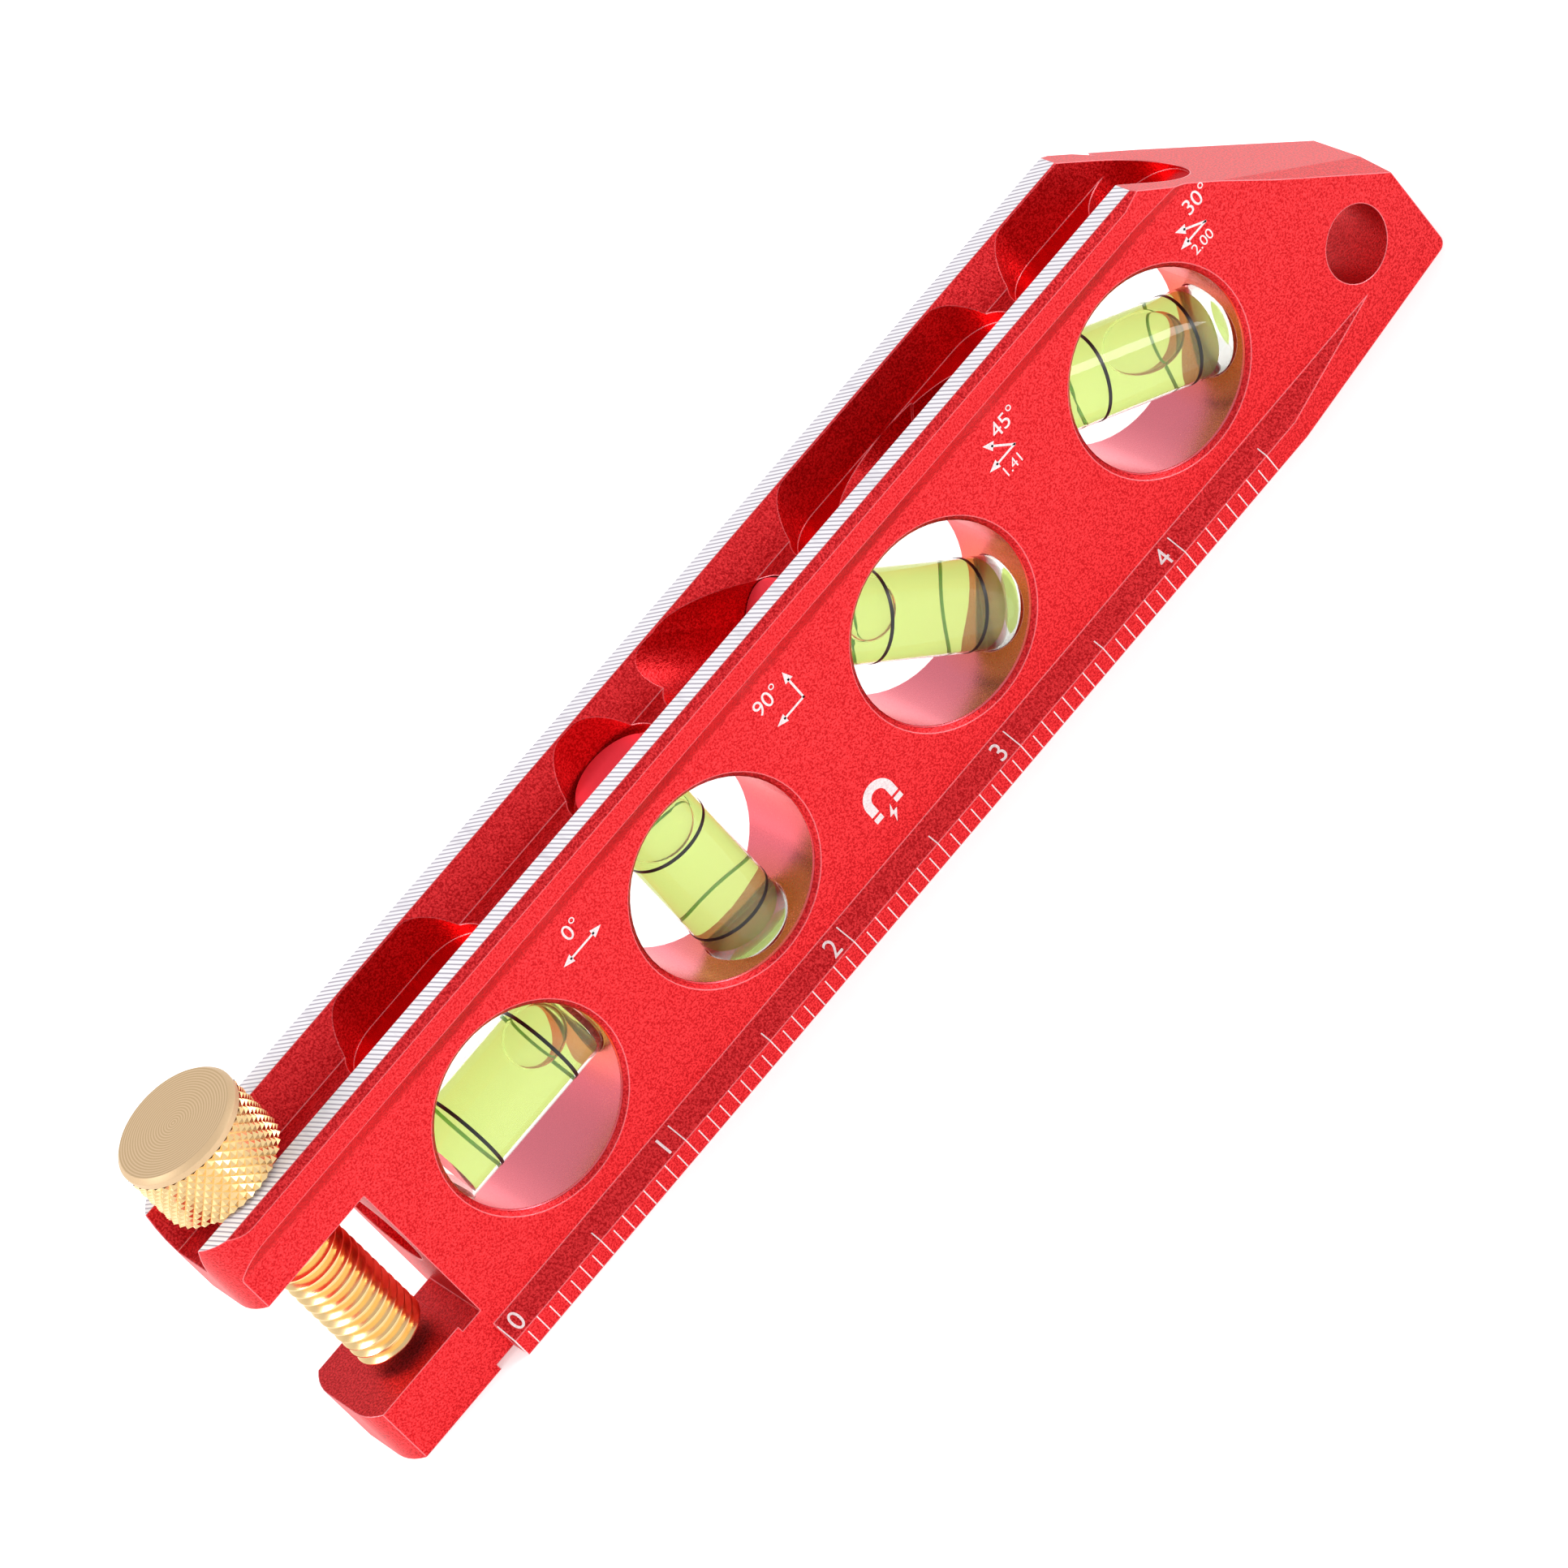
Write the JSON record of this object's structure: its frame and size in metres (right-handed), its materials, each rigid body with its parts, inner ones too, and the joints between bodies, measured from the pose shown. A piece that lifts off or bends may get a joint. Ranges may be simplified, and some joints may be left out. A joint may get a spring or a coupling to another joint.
{
  "type": "pocket pipe level with clamp screw",
  "caption": "Slim red anodised pocket torpedo level with a grooved pipe edge, engraved ruler edge, round vial windows and a brass clamp thumbscrew.",
  "frame": {"origin": "bottom centre of the level's bounding box, on the ruler edge", "axes": "+X along the ruler from the clamp end to the nose, +Z from the ruler edge to the grooved edge, the ruled face looks towards -Y"},
  "size_m": [0.1588, 0.0164, 0.043],
  "materials": {
    "red_anodised": "bead blasted red anodising, bare milled rails",
    "clear_acrylic": "clear polished",
    "level_fluid": "clear yellow-green",
    "black_band": "printed band",
    "red_cap": "smooth satin red",
    "magnet_nickel": "nickel plated",
    "brass": "turned and knurled"
  },
  "bodies": {
    "frame": {"level_frame": "red_anodised", "vial_body_0": "clear_acrylic", "vial_liquid_0": "level_fluid", "vial_plug_0": "clear_acrylic", "vial_rings_0": "black_band", "bore_cap_0": "red_cap", "vial_body_90": "clear_acrylic", "vial_liquid_90": "level_fluid", "vial_plug_90": "clear_acrylic", "vial_rings_90": "black_band", "bore_cap_90": "red_cap", "vial_body_45": "clear_acrylic", "vial_liquid_45": "level_fluid", "vial_plug_45": "clear_acrylic", "vial_rings_45": "black_band", "bore_cap_45": "red_cap", "vial_body_30": "clear_acrylic", "vial_liquid_30": "level_fluid", "vial_plug_30": "clear_acrylic", "vial_rings_30": "black_band", "bore_cap_30": "red_cap", "magnet_90": "magnet_nickel", "magnet_45": "magnet_nickel"},
    "screw_slide": {"thumbscrew_stud": "brass"},
    "screw_turn": {"thumbscrew_knob": "brass"}
  },
  "joints": [
    {"name": "screw_travel", "type": "slide", "parent": "frame", "child": "screw_slide", "axis": [0, 0, 1], "range_m": [-0.0003, 0.017]},
    {"name": "screw_turn", "type": "hinge", "parent": "screw_slide", "child": "screw_turn", "pos_m": [-0.0712, 0, 0.037], "axis": [0, 0, 1], "range_deg": [-90, 4900]}
  ],
  "couplings": [
    {"joint": "screw_turn", "follows": "screw_travel", "rad_per_m": 5026.5}
  ]
}
